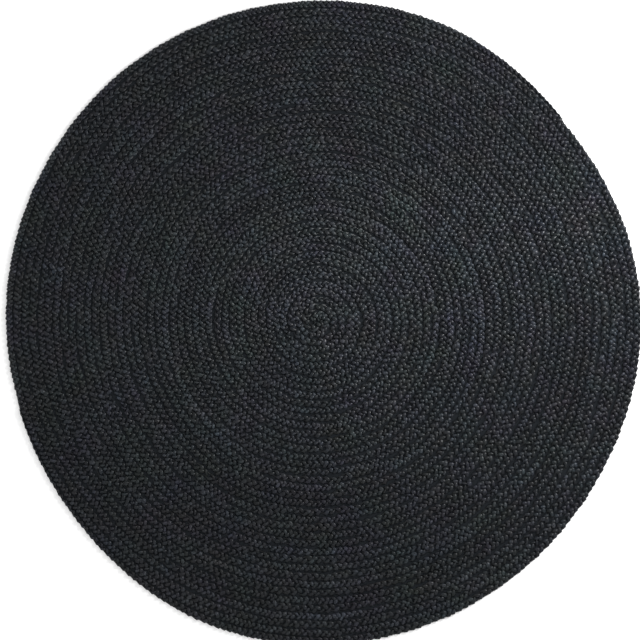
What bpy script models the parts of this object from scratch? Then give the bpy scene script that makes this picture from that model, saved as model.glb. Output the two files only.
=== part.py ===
"""A round jute rug: two plaits coiled together from the middle, side by side, and sewn edge to edge.

Metres, +Z up. The underside lies on z = 0, and the origin is the middle of the rug's footprint.

Both plaits are laid on one double spiral. A place on it is given by a heading, clockwise as seen from
above, and by a row number: how many rows lie between it and the coil's middle. Each half turn carries
a plait one row outward, so the rows of the two plaits alternate.
"""

from math import cos, hypot, pi, radians, sin

import bpy
from mathutils import Vector

# The rug as a whole
RUG_RADIUS = 0.75  # mean radius of the edge
THICKNESS = 0.0095  # a plait pressed flat
EYE = Vector((-0.015, 0.002))  # the coil's middle lies a little left of the rug's
EYE_RADIUS = 0.002  # the dimple left where both plaits start
WAVES = (
    # The edge is no true circle. (crests in a round, their height, heading of the first)
    (2, 0.0030, radians(59)),
    (3, 0.0027, radians(104)),
    (4, 0.0027, radians(2)),
    (6, 0.0015, radians(52)),
)

# The rows
INNER_ROW = 0.0178  # mean width of the rows near the middle
INNER_ROWS = 22  # how many rows keep that width, before the plaits get wider
EDGE_ROW = 41  # mean row number of the edge
SEAM = 0.0003  # gap between neighbouring rows

# The plaits
STEPS_PER_TURN = 30
STEP = 2 * pi / STEPS_PER_TURN
START_STEP = -4  # both start as a narrow tongue, tucked in before their first full-width row
START_HEADING = radians(116)  # of the fine plait; the coarse one starts on the other side of the eye
PLAITS = {
    # name: (width in mean rows, first heading, last step, steps over which the tail narrows)
    "fine_braid": (0.94, START_HEADING, 617, 2),
    "coarse_braid": (1.06, START_HEADING + pi, 619, 4),
}
TIP_WIDTH = 0.003  # what is left of the width at the end of the tail

COLOURS = {
    "fine_braid": (0.030, 0.032, 0.036, 1.0),
    "coarse_braid": (0.018, 0.020, 0.024, 1.0),
}
ROUGHNESS = 0.85

OUTER_ROW = (RUG_RADIUS - INNER_ROWS * INNER_ROW) / (EDGE_ROW - INNER_ROWS)


def reach(row):
    """The distance from the coil's middle to a row number: narrow rows first, then wider ones."""
    return INNER_ROW * min(row, INNER_ROWS) + OUTER_ROW * max(row - INNER_ROWS, 0)


def swell(row, heading):
    """How far the waves of the edge move a seam outward. They grow evenly from the eye to the edge."""
    at_edge = sum(height * cos(crests * (heading - first)) for crests, height, first in WAVES)
    return at_edge * max(row, 0) / EDGE_ROW


def seam_point(row, heading, shift):
    """A point beside the seam at a row number, moved outward by shift, as measured across the seam.
    The coil's middle drifts from the eye to the rug's own middle as the rows go out, and no seam comes
    nearer to it than the dimple."""
    middle = EYE * (1 - max(row, 0) / EDGE_ROW)
    distance = max(reach(row) + swell(row, heading), EYE_RADIUS)
    slant = hypot(1, INNER_ROW / pi / distance)  # near the eye the seams run out steeply
    return middle + (distance + shift * slant) * Vector((cos(heading), -sin(heading)))


def plait_outline(rows_wide, first_heading, last_step, tail_steps):
    """The closed outline of one plait: out along its outer edge and back along its inner one."""
    outer, inner = [], []
    for step in range(START_STEP, last_step + 1):
        row = step * STEP / pi
        heading = first_heading + step * STEP
        near = seam_point(row - rows_wide / 2, heading, SEAM / 2)
        far = seam_point(row + rows_wide / 2, heading, -SEAM / 2)
        into_tail = max(step - (last_step - tail_steps), 0) / tail_steps
        tip = near + (far - near).normalized() * TIP_WIDTH
        inner.append(near)
        outer.append(far.lerp(tip, into_tail))
    return outer + inner[::-1]


def footprint_middle(outlines):
    """The middle of the box around all the outlines."""
    xs = [point.x for outline in outlines for point in outline]
    ys = [point.y for outline in outlines for point in outline]
    return Vector(((min(xs) + max(xs)) / 2, (min(ys) + max(ys)) / 2))


def jute(name):
    """A plain dyed-jute material in the plait's own shade."""
    material = bpy.data.materials.new(name)
    material.use_nodes = True
    shader = material.node_tree.nodes["Principled BSDF"]
    shader.inputs["Base Color"].default_value = COLOURS[name]
    shader.inputs["Roughness"].default_value = ROUGHNESS
    shader.inputs["Metallic"].default_value = 0.0
    return material


def add_plait(name, outline, middle, collection):
    """One plait: its outline as a filled flat curve, as thick as the plait."""
    curve = bpy.data.curves.new(name, "CURVE")
    curve.dimensions = "2D"
    curve.fill_mode = "BOTH"
    curve.extrude = THICKNESS / 2
    spline = curve.splines.new("POLY")
    spline.points.add(len(outline) - 1)
    for point, place in zip(spline.points, outline):
        point.co = (*(place - middle), 0, 1)
    spline.use_cyclic_u = True
    curve.materials.append(jute(name))
    plait = bpy.data.objects.new(name, curve)
    plait.location.z = THICKNESS / 2
    collection.objects.link(plait)


def build():
    for old in list(bpy.data.objects):
        bpy.data.objects.remove(old)
    rug = bpy.data.collections.new("round_jute_rug")
    bpy.context.scene.collection.children.link(rug)
    outlines = {name: plait_outline(*layout) for name, layout in PLAITS.items()}
    middle = footprint_middle(outlines.values())
    for name, outline in outlines.items():
        add_plait(name, outline, middle, rug)


build()
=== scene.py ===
# %% [markdown]
# # A round jute rug, coiled from two plaits
# The real rug is made of two long flat plaits of jute, dyed almost black. Both start at the middle and are
# coiled outward together, side by side, and each row is sewn to its neighbour edge to edge. The first plait
# is tight and the second is looser, so fine and coarse rows take turns.
#
# The frame holds both plaits as flat strips of the right outline and thickness. This lesson keeps their
# places and their size, and lays the three strands of each plait where the strip is.
#
# Nothing in it is simulated. A rug this heavy simply lies flat, so each strand's place is worked out by
# formula, and chance is used only for the small differences between one lobe of the plait and the next.

# %% Load the fixed frame
from dataclasses import dataclass

import bpy
import numpy as np
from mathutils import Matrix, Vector


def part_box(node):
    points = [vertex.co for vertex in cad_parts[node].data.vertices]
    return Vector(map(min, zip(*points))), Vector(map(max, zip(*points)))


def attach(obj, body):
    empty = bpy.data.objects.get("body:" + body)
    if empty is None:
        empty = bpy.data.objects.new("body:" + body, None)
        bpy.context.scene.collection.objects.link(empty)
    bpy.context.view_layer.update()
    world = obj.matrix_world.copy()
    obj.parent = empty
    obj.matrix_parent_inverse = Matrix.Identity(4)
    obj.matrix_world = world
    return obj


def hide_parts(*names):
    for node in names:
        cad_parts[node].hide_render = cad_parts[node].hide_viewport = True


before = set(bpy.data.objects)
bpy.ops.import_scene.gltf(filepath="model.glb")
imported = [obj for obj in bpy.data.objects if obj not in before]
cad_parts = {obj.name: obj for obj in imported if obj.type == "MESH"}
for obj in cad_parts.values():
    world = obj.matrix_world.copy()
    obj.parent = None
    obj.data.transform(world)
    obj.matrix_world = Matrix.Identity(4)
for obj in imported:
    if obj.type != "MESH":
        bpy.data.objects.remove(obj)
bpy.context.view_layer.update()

BODY = "root"

print("nodes in the frame:", sorted(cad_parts))

# %% [markdown]
# ## The double spiral
# A coiled rug grows outward by one row each time a plait has gone once round the rows below it. Here two
# plaits run side by side, so each plait moves two rows outward in a full turn, or one row in half a turn.
#
# The coil could be drawn by hand as a curve, but a formula keeps all the rows exactly where the frame's
# strips are. A place is given by how far the plait has turned since its start. That turn gives its heading
# and its row number, and the row number gives its distance from the coil's middle. The middle itself drifts
# from the eye of the coil, which lies a little to the left, to the middle of the rug.
#
# Every row follows the unevenness of the row below it and adds its own, so the edge of a coiled rug is never
# a true circle. Four gentle waves stand for that. They grow from nothing at the eye to 3 mm at the edge.

# %% Sizes of the coil
RUG_RADIUS = 0.75  # mean radius of the edge
THICKNESS = 0.0095
EYE = np.array([-0.015, 0.002])  # the coil's middle lies a little left of the rug's
EYE_RADIUS = 0.002
WAVES = (
    # The edge is no true circle. (crests in a round, their height, heading of the first)
    (2, 0.0030, np.radians(59)),
    (3, 0.0027, np.radians(104)),
    (4, 0.0027, np.radians(2)),
    (6, 0.0015, np.radians(52)),
)
INNER_ROW = 0.0178  # mean width of the rows near the middle
INNER_ROWS = 22  # how many rows keep that width, before the plaits get wider
EDGE_ROW = 41  # mean row number of the edge
OUTER_ROW = (RUG_RADIUS - INNER_ROWS * INNER_ROW) / (EDGE_ROW - INNER_ROWS)
SEAM = 0.0003  # gap between neighbouring rows
STEPS_PER_TURN = 30
STEP = 2 * np.pi / STEPS_PER_TURN  # from one corner of the frame's strips to the next
FIRST_TURN = -4 * STEP  # both start as a narrow tongue, before their first full-width row
START_HEADING = np.radians(116)  # of the fine plait; the coarse one starts on the other side of the eye
TIP_WIDTH = 0.003  # what is left of the width at the end of the tail


@dataclass
class Plait:
    """What differs between the two plaits."""

    rows_wide: float  # its width in mean rows
    heading: float  # at its start, clockwise as seen from above
    last_turn: float  # how far it has turned at its end, as an angle
    tail: float  # the turn over which it narrows to its tip
    lobe_length: float  # in mean rows
    strand_width: float  # in widths of the plait


FINE = Plait(
    rows_wide=0.94,
    heading=START_HEADING,
    last_turn=617 * STEP,
    tail=2 * STEP,
    lobe_length=0.70,
    strand_width=0.48,
)
COARSE = Plait(
    rows_wide=1.06,
    heading=START_HEADING + np.pi,
    last_turn=619 * STEP,
    tail=4 * STEP,
    lobe_length=0.86,
    strand_width=0.48,
)


def reach(row):
    """Distance from the coil's middle: the row number times the row's width, narrow rows first."""
    return INNER_ROW * np.minimum(row, INNER_ROWS) + OUTER_ROW * np.maximum(row - INNER_ROWS, 0)


def swell(row, heading):
    """How far the waves of the edge move a seam outward: a sum of cosines of the heading, which grow
    evenly from the eye to the edge."""
    at_edge = sum(height * np.cos(crests * (heading - first)) for crests, height, first in WAVES)
    return at_edge * np.maximum(row, 0) / EDGE_ROW


def seam_points(row, heading, shift):
    """Points beside the seam at each row number, moved outward by shift across the seam. The seam lies
    at its reach from the drifting middle, and the shift is lengthened where the seam runs out steeply."""
    middle = EYE * (1 - np.maximum(row, 0) / EDGE_ROW)[:, None]
    distance = np.maximum(reach(row) + swell(row, heading), EYE_RADIUS)
    slant = np.hypot(1, INNER_ROW / np.pi / distance)
    direction = np.stack([np.cos(heading), -np.sin(heading)], axis=1)
    return middle + (distance + shift * slant)[:, None] * direction


def plait_edges(plait, turn):
    """The inner and outer edge of a plait at each turn. In the tail the outer edge draws in until only
    the tip's width is left."""
    row = turn / np.pi
    heading = plait.heading + turn
    inner = seam_points(row - plait.rows_wide / 2, heading, SEAM / 2)
    outer = seam_points(row + plait.rows_wide / 2, heading, -SEAM / 2)
    across = outer - inner
    tip = inner + across / np.linalg.norm(across, axis=1)[:, None] * TIP_WIDTH
    into_tail = np.clip((turn - plait.last_turn) / plait.tail + 1, 0, 1)[:, None]
    return inner, outer + (tip - outer) * into_tail


def footprint_middle():
    """The middle of the box around both strips, whose corners are one step apart. The frame puts it on
    the origin."""
    corners = []
    for plait in (FINE, COARSE):
        turn = np.arange(round(FIRST_TURN / STEP), round(plait.last_turn / STEP) + 1) * STEP
        corners.extend(plait_edges(plait, turn))
    corners = np.concatenate(corners)
    return (corners.min(axis=0) + corners.max(axis=0)) / 2


MIDDLE = footprint_middle()
strip_low, strip_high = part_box("fine_braid")
print("the rug's own middle is at", (-MIDDLE).round(4), "metres from the origin")
print("the frame's fine strip spans x", round(strip_low[0], 4), "to", round(strip_high[0], 4))

# %% [markdown]
# ## Uneven hands
# No two lobes of a real plait are alike. The strand is thicker here and thinner there, the plaiter pulls
# harder or softer, and the dye takes better on some lengths than on others.
#
# Noise added to every point would make the strand lumpy. Here one random value is drawn for each lobe, or for
# each of a row of knots along the plait, and carried in a straight line to the next one, so that a whole
# lobe or a whole length of the plait differs from its neighbours.

# %% Random values, one for each lobe
SEED = 7
HALF_ROUND = np.pi  # a strand shows one lobe in each half of its round
CREST = np.radians(20)  # how far past the middle of the plait a strand is highest
MOST_SPREADS = 3  # no value strays further than this


def lobe_noise(draw, phase, spread):
    """A random value for each lobe, carried in straight lines between their crests. The values come from
    a bell curve of the given spread, cut off at three spreads."""
    lobes = int(phase[-1] / HALF_ROUND) + 3  # one before the strand's start and two to spare
    values = np.clip(draw.normal(0, spread, lobes), -MOST_SPREADS * spread, MOST_SPREADS * spread)
    crests = CREST + (np.arange(lobes) - 1) * HALF_ROUND
    return np.interp(phase, crests, values)


def knot_noise(draw, place, spread, apart):
    """A random value at knots so far apart along a length, carried in straight lines between them."""
    knots = np.arange(place[0], place[-1] + 2 * apart, apart)
    return np.interp(place, knots, draw.normal(0, spread, len(knots)))


five_crests = CREST + np.arange(5) * HALF_ROUND
print("random values at five lobes:", lobe_noise(np.random.default_rng(SEED), five_crests, 1.0).round(2))

# %% Where a plait's phase is along its length
PLAIT_STRANDS = 3
TABLE_SIZE = 60000  # places along a plait, less than a millimetre apart
TEMPO_SPREAD, TEMPO_KNOTS = 0.10, 0.05  # how much longer or shorter the lobes get, and metres apart
WANDER_SPREAD, WANDER_KNOTS = 0.0015, 0.03  # how far the plait strays to either side
DYE_SPREAD, DYE_KNOTS = 0.16, 0.5  # how much lighter or darker a length of the plait took the dye


def phase_table(plait):
    """The turn, the phase, the stray and the dye at close places along a plait, and its whole length. The
    phase grows by a full round for every three lobes, so it is each bit of length over the length of a
    round there, summed up."""
    turn = np.linspace(FIRST_TURN, plait.last_turn, TABLE_SIZE)
    inner, outer = plait_edges(plait, turn)
    middle = (inner + outer) / 2
    run = np.linalg.norm(np.diff(middle, axis=0), axis=1)
    length = np.concatenate([[0], np.cumsum(run)])
    row = np.maximum(turn, 0) / np.pi
    row_width = np.maximum(reach(row + 0.5) - reach(row - 0.5), INNER_ROW)
    draw = np.random.default_rng([SEED, round(100 * plait.lobe_length)])
    tempo = 1 + knot_noise(draw, length, TEMPO_SPREAD, TEMPO_KNOTS)
    wander = knot_noise(draw, length, WANDER_SPREAD, WANDER_KNOTS)
    dye = knot_noise(draw, length, DYE_SPREAD, DYE_KNOTS)
    lobe = (plait.lobe_length * row_width * tempo)[1:]
    phase = np.concatenate([[0], np.cumsum(run / lobe * 2 * np.pi / PLAIT_STRANDS)])
    return turn, phase, wander, dye, length[-1]


for name, plait in (("fine", FINE), ("coarse", COARSE)):
    turns, phases, _, _, length = phase_table(plait)
    print(name, "plait:", round(length, 1), "m long,", round(phases[-1] / 2 / np.pi), "rounds of its strands")

# %% [markdown]
# ## A strand's way through the plait
# In a flat plait of three strands each strand swings from edge to edge. It comes up on its way across the
# middle, passes over one neighbour, and goes down again at the edge to turn back under the other. The three
# do the same a third of a round apart. Seen from above, that leaves two lines of slanting lobes that meet in
# the middle like an ear of wheat.
#
# A strand could be pulled along by hand, or a short repeat could be bent round with a Curve modifier, which
# would stretch the repeat on the tight inner rows. Here a formula is used. The swing to the side is a sine of
# the phase, and the strand's height is set at five rings in each half round: it comes out from under its
# neighbour, passes over with two rings, goes down again, and passes under.

# %% The rings along a strand
RING_PHASES = np.radians([-16, 13, 43, 72, 150])
RING_LEVELS = np.array([0.2, 0.9, 1.0, 0.2, 0.0])  # 0 touches the lower side of the rug and 1 the upper
RING_WIDTHS = np.array([0.65, 1.05, 1.05, 0.65, 0.5])
RING_HEIGHTS = np.array([0.5, 0.95, 1.0, 0.5, 0.4])
# painted shade: the rings where a strand dives between its neighbours are coloured darker, for the shade in
# the gaps
RING_PAINTED_SHADES = np.array([0.6, 1.0, 1.0, 0.6, 0.55])
SHARPNESS = 0.12  # how much more steeply than a sine a strand crosses the plait's middle


def sideways(phase):
    """A strand's swing from side to side, -1 at one edge and 1 at the other: a sine, with some of a three
    times faster one that makes it cross the middle steeply and run along the edge for a while."""
    return (np.sin(phase) + SHARPNESS * np.sin(3 * phase)) / (1 - SHARPNESS)


def ring_places(first, last):
    """The phases of all rings of a strand, and which of the five each one is."""
    halves = np.arange(np.floor(first / HALF_ROUND) - 1, np.ceil(last / HALF_ROUND) + 1)
    phases = (halves[:, None] * HALF_ROUND + RING_PHASES).ravel()
    kinds = np.tile(np.arange(len(RING_PHASES)), len(halves))
    inside = (phases > first) & (phases < last)
    return phases[inside], kinds[inside]


print("rings in a round of a strand:", 2 * len(RING_PHASES))

# %% [markdown]
# ## The strand as a surface
# A strand is a soft bundle of jute fibres. It is full and oval where it passes over, and pinched where it
# passes under. The surface is a grid of two parameters: how far along the strand, and how far round its
# section. All points are worked out at once as arrays and then handed to the mesh.
#
# A curve with a round bevel would be shorter to write, but its section could not be wider in one ring and
# flatter in the next, and it would spend as many points on the hidden lower side as on the upper one.

# %% Points of a strand
SECTION_ANGLES = np.radians([90, 135, 175, 230, 310, 5, 45])  # round the section, more of them above
SIDES = len(SECTION_ANGLES)
CROWDING = 1.12  # the width that the strands take up, in widths of the plait
STRAND_HEIGHT = 0.0080
FULL_HEIGHT_WIDTH = 0.6  # in inner rows: a plait narrower than this has lower strands too
LEAST_HEIGHT = 0.5  # the share of their height that they keep there
TIP_ROUNDING = (0.45, 0.3)  # the size of a strand's first ring, and how much each next ring gains
EARLY_SPREAD = 0.22  # how much too early or late a lobe comes, as a phase
SWING_SPREAD = 0.28  # how much more or less it swings to the side
WIDTH_SPREAD = 0.16
HEIGHT_SPREAD = 0.06
ROLL_SPREAD = 0.25  # how far it rolls to one side, in radians
RIM_CALM = 0.3  # the share of stray, swing and width differences that is left at the rug's rim
RIM_TURNS = (np.pi, 1.5 * np.pi)  # back from the plait's end: calm up to the first, uneven past the other


def strand_grid(plait, number, draw):
    """Points of one strand, as rings by sides. The middle of each ring swings across the plait by the sine
    of its phase and lies at its level. Round it, each point lies to the side by the cosine of its angle
    times half the width, and up by the sine times half the height."""
    turns, phases, wander, dye, _ = phase_table(plait)
    lag = 2 * np.pi * number / PLAIT_STRANDS
    phase, kind = ring_places(lag, phases[-1] + lag)
    early = np.clip(phase - lag + lobe_noise(draw, phase, EARLY_SPREAD), 0, phases[-1])
    turn = np.interp(early, phases, turns)
    inner, outer = plait_edges(plait, turn)
    across = outer - inner
    width = np.linalg.norm(across, axis=1)
    across /= width[:, None]

    calm = np.interp(plait.last_turn - turn, RIM_TURNS, [RIM_CALM, 1])
    swing = (CROWDING - plait.strand_width) / 2 * width * (1 + calm * lobe_noise(draw, phase, SWING_SPREAD))
    thick = 1 + calm * lobe_noise(draw, phase, WIDTH_SPREAD)
    high = STRAND_HEIGHT / 2 * np.clip(width / (FULL_HEIGHT_WIDTH * INNER_ROW), LEAST_HEIGHT, 1)
    half_height = high * RING_HEIGHTS[kind] * (1 + lobe_noise(draw, phase, HEIGHT_SPREAD))
    up = half_height + RING_LEVELS[kind] * (THICKNESS - 2 * half_height)

    stray = calm * np.interp(turn, turns, wander) * np.clip(width / INNER_ROW, 0, 1) ** 2
    flat = (inner + outer) / 2 + across * (swing * sideways(phase) + stray)[:, None] - MIDDLE
    middle = np.concatenate([flat, up[:, None]], axis=1)
    along = np.gradient(middle, axis=0)
    along /= np.linalg.norm(along, axis=1)[:, None]
    side = np.stack([along[:, 1], -along[:, 0], np.zeros(len(along))], axis=1)
    side /= np.linalg.norm(side, axis=1)[:, None]
    top = np.cross(side, along)
    roll = lobe_noise(draw, phase, ROLL_SPREAD)[:, None]
    side, top = side * np.cos(roll) + top * np.sin(roll), top * np.cos(roll) - side * np.sin(roll)

    ends = np.minimum(np.arange(len(phase)), np.arange(len(phase))[::-1])
    rounding = np.clip(TIP_ROUNDING[0] + TIP_ROUNDING[1] * ends, 0, 1)
    half_width = plait.strand_width * width / 2 * thick * rounding * RING_WIDTHS[kind]
    half_height = half_height * rounding
    to_side = half_width[:, None] * np.cos(SECTION_ANGLES)
    to_top = half_height[:, None] * np.sin(SECTION_ANGLES)
    points = middle[:, None] + side[:, None] * to_side[:, :, None] + top[:, None] * to_top[:, :, None]
    points[..., 2] = np.clip(points[..., 2], 0, THICKNESS)
    length = np.concatenate([[0], np.cumsum(np.linalg.norm(np.diff(middle, axis=0), axis=1))])
    return points, phase, kind, turn, length, np.interp(turn, turns, dye)


strand_mm = 1000 * FINE.strand_width * FINE.rows_wide * INNER_ROW * RING_WIDTHS.max()
print("on top, a fine strand is", round(strand_mm, 1), "mm wide and", 1000 * STRAND_HEIGHT, "mm high")

# %% A mesh from a grid of rings
def triangle_count(rings):
    """Two triangles for each face between two rings, and two less than the sides at each end."""
    return 2 * (rings - 1) * SIDES + 2 * (SIDES - 2)


def tube_mesh(name, points, length):
    """A closed tube. Each face joins a point with the next one along and the next one round, wound so that
    it points outward, and one face closes each end. The UV map is the length along the strand and the share
    of the way round it."""
    rings, sides, _ = points.shape
    ring, spot = np.meshgrid(np.arange(rings - 1), np.arange(sides), indexing="ij")
    here, there = ring * sides + spot, ring * sides + (spot + 1) % sides
    quads = np.stack([here, here + sides, there + sides, there], axis=-1).reshape(-1, 4)
    first_end = np.arange(sides)
    last_end = ((rings - 1) * sides + np.arange(sides))[::-1]
    corners = np.concatenate([quads.ravel(), first_end, last_end])
    starts = np.concatenate([np.arange(len(quads)) * 4, len(quads) * 4 + np.array([0, sides])])

    mesh = bpy.data.meshes.new(name)
    mesh.vertices.add(rings * sides)
    mesh.vertices.foreach_set("co", points.astype(np.float32).ravel())
    mesh.loops.add(len(corners))
    mesh.loops.foreach_set("vertex_index", corners.astype(np.int32))
    mesh.polygons.add(len(starts))
    mesh.polygons.foreach_set("loop_start", starts.astype(np.int32))
    mesh.update(calc_edges=True)
    mesh.validate()

    along = np.stack([length[ring], length[ring + 1], length[ring + 1], length[ring]], axis=-1)
    round_it = np.stack([spot, spot, spot + 1, spot + 1], axis=-1) / sides
    quad_uv = np.stack([along, round_it], axis=-1).reshape(-1, 2)
    end_uv = np.concatenate([np.full((sides, 2), length[0]), np.full((sides, 2), length[-1])])
    uv = mesh.uv_layers.new(name="strand")
    uv.data.foreach_set("uv", np.concatenate([quad_uv, end_uv]).astype(np.float32).ravel())
    mesh.shade_smooth()
    return mesh


print("a thousand rings of", SIDES, "points make", triangle_count(1000), "triangles")

# %% [markdown]
# ## Dyed jute
# Jute is a coarse plant fibre with a dry, slightly silky surface. Dyed charcoal it sends back only a few
# hundredths of the light, a little more blue than red, and the fibres on the top of each lobe catch a grey
# glint. The dye sits unevenly, so each lobe has its own shade, fine streaks run along the strand, and the
# tint strays a little from one part of the rug to the next.
#
# One material could serve for everything, but the two plaits are two finishes in the record, so each has its
# own, made by one function. The shade of each lobe is kept on the mesh as an attribute, together with a
# painted shade on the rings where the strand dives between its neighbours. The streaks read the strand's UV
# map, so they follow it over and under its neighbours. The tint reads the place in the rug.

# %% Nodes for the jute
def node(tree, kind, **settings):
    """A new node with its settings and the values of its inputs, which are given by name."""
    made = tree.nodes.new(kind)
    for name, value in settings.items():
        if hasattr(made, name):
            setattr(made, name, value)
        else:
            made.inputs[name.replace("_", " ")].default_value = value
    return made


STREAKS = (300, 12, 1)  # streaks in a metre of the strand, and round it
STREAK_DETAIL, STREAK_ROUGHNESS = 3.0, 0.6  # how many finer noises each has, and how strong they are
NOISE_LOW, NOISE_HIGH = 0.38, 0.62  # the noise seldom strays past these
STREAK_LOW, STREAK_HIGH = 0.1, 1.9  # what they become, times the lobe's shade
PATCHES = 14  # patches of one tint in a metre of the rug
PATCH_DETAIL = 3.0
TINT = 0.3  # how far the tint strays
SHEEN_WIDTH = 0.29  # the shader's roughness
SHEEN = 0.15  # the strength of its highlights
FIBRE_HEIGHT = 0.0009
FIBRE_STRENGTH = 0.5


def jute(name, dark, light):
    """Dyed jute between a dark and a light colour, with streaks along the strand. In soft patches the
    tint strays a little to each side."""
    material = bpy.data.materials.new(name)
    material.use_nodes = True
    tree = material.node_tree
    link = tree.links.new
    shader = tree.nodes["Principled BSDF"]

    uv = node(tree, "ShaderNodeUVMap", uv_map="strand")
    stretch = node(tree, "ShaderNodeMapping")
    stretch.inputs["Scale"].default_value = STREAKS
    link(uv.outputs["UV"], stretch.inputs["Vector"])
    streaks = node(
        tree, "ShaderNodeTexNoise", Scale=1.0, Detail=STREAK_DETAIL, Roughness=STREAK_ROUGHNESS
    )
    link(stretch.outputs["Vector"], streaks.inputs["Vector"])

    # the attribute holds the lobe's tone, with painted shade on the rings where the strand dives
    shade = node(tree, "ShaderNodeAttribute", attribute_name="shade")
    streak_shade = node(
        tree,
        "ShaderNodeMapRange",
        From_Min=NOISE_LOW,
        From_Max=NOISE_HIGH,
        To_Min=STREAK_LOW,
        To_Max=STREAK_HIGH,
    )
    link(streaks.outputs["Fac"], streak_shade.inputs["Value"])
    mixed = node(tree, "ShaderNodeMath", operation="MULTIPLY")
    link(streak_shade.outputs["Result"], mixed.inputs[0])
    link(shade.outputs["Fac"], mixed.inputs[1])
    place = node(tree, "ShaderNodeTexCoord")
    patches = node(tree, "ShaderNodeTexNoise", Scale=PATCHES, Detail=PATCH_DETAIL)
    link(place.outputs["Object"], patches.inputs["Vector"])
    colour = node(tree, "ShaderNodeMix", data_type="RGBA")
    colour.inputs["A"].default_value = (*dark, 1)
    colour.inputs["B"].default_value = (*light, 1)
    link(mixed.outputs["Value"], colour.inputs["Factor"])
    tint = node(tree, "ShaderNodeMix", data_type="RGBA", blend_type="OVERLAY")
    tint.inputs["Factor"].default_value = TINT
    link(colour.outputs["Result"], tint.inputs["A"])
    link(patches.outputs["Color"], tint.inputs["B"])
    link(tint.outputs["Result"], shader.inputs["Base Color"])

    bump = node(tree, "ShaderNodeBump", Strength=FIBRE_STRENGTH, Distance=FIBRE_HEIGHT)
    link(streaks.outputs["Fac"], bump.inputs["Height"])
    link(bump.outputs["Normal"], shader.inputs["Normal"])
    shader.inputs["Roughness"].default_value = SHEEN_WIDTH
    shader.inputs["Specular IOR Level"].default_value = SHEEN
    return material


DARKEST = (0.003, 0.0035, 0.004)
FINE_PALEST = (0.0363, 0.042, 0.051)
COARSE_PALEST = (0.0288, 0.0333, 0.0403)
FINE_JUTE = jute("fine_jute", DARKEST, FINE_PALEST)
COARSE_JUTE = jute("coarse_jute", DARKEST, COARSE_PALEST)
print("materials:", FINE_JUTE.name, "and", COARSE_JUTE.name)

# %% [markdown]
# ## Laying the strands
# Each plait has three strands, and each strand is one closed piece, some sixty metres long. Each gets its
# shade ring by ring: its own for the lobe, one for the length it lies in, and a painted shade where it dives
# between its neighbours, which darkens the gaps.

# %% The six strands
MEAN_SHADE = 0.27  # between the darkest colour and the light one
LOBE_SHADES = 0.33  # the spread of shades from lobe to lobe
STRAND_SHADES, STRAND_SHADE_KNOTS = 0.15, 0.12  # along one strand, and metres apart
PALER_INSIDE = 1.2  # the rows near the eye are a little paler


def lay_strands(plait, label, material, node_name):
    """The three strands of a plait, as finished pieces on the body."""
    made = []
    for number in range(PLAIT_STRANDS):
        draw = np.random.default_rng([SEED, number, len(label)])
        points, phase, kind, turn, length, dye = strand_grid(plait, number, draw)
        name = f"{label}_strand_{number + 1}"
        mesh = tube_mesh(name, points, length)
        mesh.materials.append(material)
        by_lobe = lobe_noise(draw, phase, LOBE_SHADES)
        by_length = knot_noise(draw, length, STRAND_SHADES, STRAND_SHADE_KNOTS)
        # the dive rings are darkened by painted shade, for the shade that falls in the gaps
        shade = MEAN_SHADE * np.exp(by_lobe + by_length + dye) * RING_PAINTED_SHADES[kind]
        shade *= np.where(turn / np.pi < INNER_ROWS, PALER_INSIDE, 1)
        layer = mesh.attributes.new("shade", "FLOAT", "POINT")
        layer.data.foreach_set("value", np.repeat(np.clip(shade, 0, 1), SIDES).astype(np.float32))
        strand = bpy.data.objects.new(name, mesh)
        bpy.context.scene.collection.objects.link(strand)
        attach(strand, BODY)
        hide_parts(node_name)
        made.append(strand)
        print(name, "is", round(length[-1], 1), "m long, with", triangle_count(len(phase)), "triangles")
    return made


fine_strands = lay_strands(FINE, "fine", FINE_JUTE, "fine_braid")
coarse_strands = lay_strands(COARSE, "coarse", COARSE_JUTE, "coarse_braid")

# %% [markdown]
# ## A dark sheet under the gaps
# Where the rows are sewn together, the strands' fibres are drawn into each other, and no light comes through.
# A sheet of one millimetre, low in the thickness, closes the gaps between the strands, and its dark colour is
# painted shade: it shows only as the dark bottom of the gaps between the lobes.
#
# The strands could be joined into one body to close those gaps, but a plain sheet keeps each strand whole.

# %% The ground between the strands
GROUND_THICKNESS = 0.001
GROUND_HEIGHT = 0.003  # of the sheet's middle
GROUND_INSET = 0.002  # how far its rim lies inside the rug's
RIM_POINTS = 240
GROUND_RINGS = 11
LAST_TURNS = 3 * np.pi  # the end of each plait in which the rim is looked for
LAST_PLACES = 1500  # places in it
NEARBY = np.radians(1)  # a place counts for a heading this close to it
# painted shade: the sheet's colour stands for the dark bottom of the gaps
GAP_SHADE_COLOUR = (0.0098, 0.0116, 0.0138, 1)
GROUND_ROUGHNESS = 1.0
GROUND_SHEEN = 0.1


def ground_outline():
    """The rim of the ground. At each heading it is as far out as the outermost plait's edge nearby, less the
    inset."""
    heading = np.arange(RIM_POINTS) * 2 * np.pi / RIM_POINTS
    outermost = np.zeros(len(heading))
    for plait in (FINE, COARSE):
        turn = np.linspace(plait.last_turn - LAST_TURNS, plait.last_turn, LAST_PLACES)
        _, outer = plait_edges(plait, turn)
        angle = np.arctan2(outer[:, 1], outer[:, 0])
        apart = (angle - heading[:, None] + np.pi) % (2 * np.pi) - np.pi
        distance = np.linalg.norm(outer, axis=1)
        outermost = np.maximum(outermost, np.where(np.abs(apart) < NEARBY, distance, 0).max(axis=1))
    distance = outermost - GROUND_INSET
    return np.stack([distance * np.cos(heading), distance * np.sin(heading)], axis=1) - MIDDLE


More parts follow.
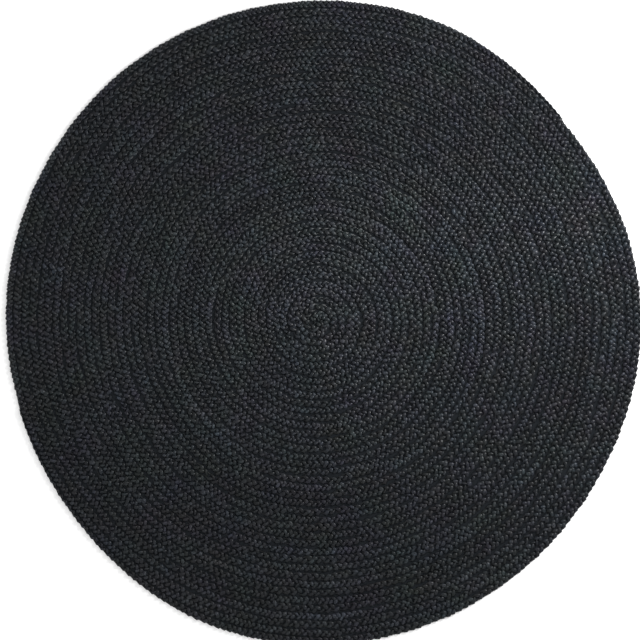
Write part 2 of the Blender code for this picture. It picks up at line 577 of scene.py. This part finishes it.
def ground_mesh():
    """Rings from the rug's middle to the rim, on an upper and a lower side, each ring a share of the rim.
    A fan closes the middle of each side, and a band of faces joins the two along the rim."""
    rim = ground_outline()
    shares = np.linspace(0, 1, GROUND_RINGS + 1)[1:]
    flat = np.concatenate([share * (rim + MIDDLE) - MIDDLE for share in shares])
    count, rings = len(rim), len(shares)
    heights = GROUND_HEIGHT + GROUND_THICKNESS / 2 * np.array([1, -1])
    middle = np.array([[*-MIDDLE, heights[0]], [*-MIDDLE, heights[1]]])
    sides = [np.column_stack([flat, np.full(len(flat), height)]) for height in heights]
    points = np.concatenate([middle, *sides])
    spot = np.arange(count)
    after = (spot + 1) % count
    faces = []
    for side, start in enumerate((2, 2 + len(flat))):
        fan = [np.full(count, side), start + spot, start + after]
        faces += np.stack(fan if side == 0 else fan[::-1], axis=1).tolist()
        for ring in range(rings - 1):
            base = start + ring * count
            quad = [base + spot, base + count + spot, base + count + after, base + after]
            faces += np.stack(quad if side == 0 else quad[::-1], axis=1).tolist()
    top_rim = 2 + (rings - 1) * count
    low_rim = top_rim + len(flat)
    faces += np.stack([low_rim + spot, low_rim + after, top_rim + after, top_rim + spot], axis=1).tolist()
    mesh = bpy.data.meshes.new("gap_shade_sheet")
    mesh.from_pydata(points.tolist(), [], faces)
    mesh.update()
    return mesh, rim


mesh, rim = ground_mesh()
# the sheet's material is painted shade for the bottom of the gaps
painted_gap_shade = bpy.data.materials.new("painted_gap_shade")
painted_gap_shade.use_nodes = True
ground_shader = painted_gap_shade.node_tree.nodes["Principled BSDF"]
ground_shader.inputs["Base Color"].default_value = GAP_SHADE_COLOUR
ground_shader.inputs["Roughness"].default_value = GROUND_ROUGHNESS
ground_shader.inputs["Specular IOR Level"].default_value = GROUND_SHEEN
mesh.materials.append(painted_gap_shade)
ground = bpy.data.objects.new("gap_shade_sheet", mesh)
bpy.context.scene.collection.objects.link(ground)
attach(ground, BODY)

# %% [markdown]
# ## Floor, light and camera
# The rug lies on a plain pale floor, and the camera looks straight down. Most of the light comes evenly from
# all sides. In the photograph the lobes are lit from the right and a little from above, more strongly towards
# the right edge, and a pale pool lies right of the middle. A large lamp low on the right gives the first, a
# lower one beside it makes the right edge stronger, and a soft-edged spot makes the pool.

# %% The floor
FLOOR_SIZE = 12.0
FLOOR_DROP = 0.0005  # how far it lies below the rug
FLOOR_COLOUR = (0.95, 0.95, 0.95, 1)
FLOOR_ROUGHNESS = 0.9
half = FLOOR_SIZE / 2
floor_mesh = bpy.data.meshes.new("floor")
floor_corners = [(-half, -half, 0), (half, -half, 0), (half, half, 0), (-half, half, 0)]
floor_mesh.from_pydata(floor_corners, [], [(0, 1, 2, 3)])
floor_mesh.update()
floor_material = bpy.data.materials.new("floor_paint")
floor_material.use_nodes = True
floor_shader = floor_material.node_tree.nodes["Principled BSDF"]
floor_shader.inputs["Base Color"].default_value = FLOOR_COLOUR
floor_shader.inputs["Roughness"].default_value = FLOOR_ROUGHNESS
floor_mesh.materials.append(floor_material)
floor = bpy.data.objects.new("floor", floor_mesh)
floor.location.z = -FLOOR_DROP
bpy.context.scene.collection.objects.link(floor)
print("the floor is", FLOOR_SIZE, "m wide and lies", 1000 * FLOOR_DROP, "mm below the rug")

# %% The camera
VIEW_WIDTH = 1.506  # metres across the picture, at the rug's upper side
CAMERA_HEIGHT = 4.0
SENSOR_WIDTH = 36  # millimetres
AIM = np.array([-0.0062, 0.0035]) - MIDDLE  # the picture's middle, seen from the rug's own middle
camera_data = bpy.data.cameras.new("camera")
camera_data.sensor_width = SENSOR_WIDTH
camera_data.lens = SENSOR_WIDTH * CAMERA_HEIGHT / VIEW_WIDTH
camera = bpy.data.objects.new("camera", camera_data)
camera.location = (*AIM, THICKNESS + CAMERA_HEIGHT)
bpy.context.scene.collection.objects.link(camera)
bpy.context.scene.camera = camera
print("the camera hangs", CAMERA_HEIGHT, "m above the rug, with a lens of", round(camera_data.lens, 1), "mm")

# %% The lights
def hang(lamp, place, aim):
    """Hang a lamp at a place, facing a point."""
    made = bpy.data.objects.new(lamp.name, lamp)
    made.location = place
    made.rotation_mode = "QUATERNION"
    made.rotation_quaternion = (Vector(aim) - Vector(place)).to_track_quat("-Z", "Y")
    made.visible_camera = False
    bpy.context.scene.collection.objects.link(made)
    print(lamp.name, "has", lamp.energy, "watts,", round(Vector(place).length, 2), "m from the origin")


def soft_light(name, place, size, power):
    """A square lamp of so many metres that faces the rug's middle."""
    lamp = bpy.data.lights.new(name, "AREA")
    lamp.size = size
    lamp.energy = power
    hang(lamp, place, (0, 0, 0))


def pool_light(name, place, aim, cone, size, power):
    """A round lamp whose light fades out evenly towards the edge of its cone."""
    lamp = bpy.data.lights.new(name, "SPOT")
    lamp.spot_size = cone
    lamp.spot_blend = 1.0
    lamp.shadow_soft_size = size
    lamp.energy = power
    hang(lamp, place, aim)


soft_light("key_light", place=(1.36, 0.63, 1.3), size=0.45, power=21)
soft_light("side_light", place=(1.55, 0.62, 0.65), size=0.25, power=14)
pool_light(
    "pool_light",
    place=(2.05, 0.84, 1.15),
    aim=(0.29, 0.10, 0),
    cone=np.radians(18),
    size=0.12,
    power=170,
)

WORLD_STRENGTH = 1.0  # light that comes evenly from all sides
world = bpy.data.worlds.new("studio")
world.use_nodes = True
background = world.node_tree.nodes["Background"]
background.inputs["Color"].default_value = (1, 1, 1, 1)
background.inputs["Strength"].default_value = WORLD_STRENGTH
bpy.context.scene.world = world
bpy.context.scene.view_settings.view_transform = "Standard"
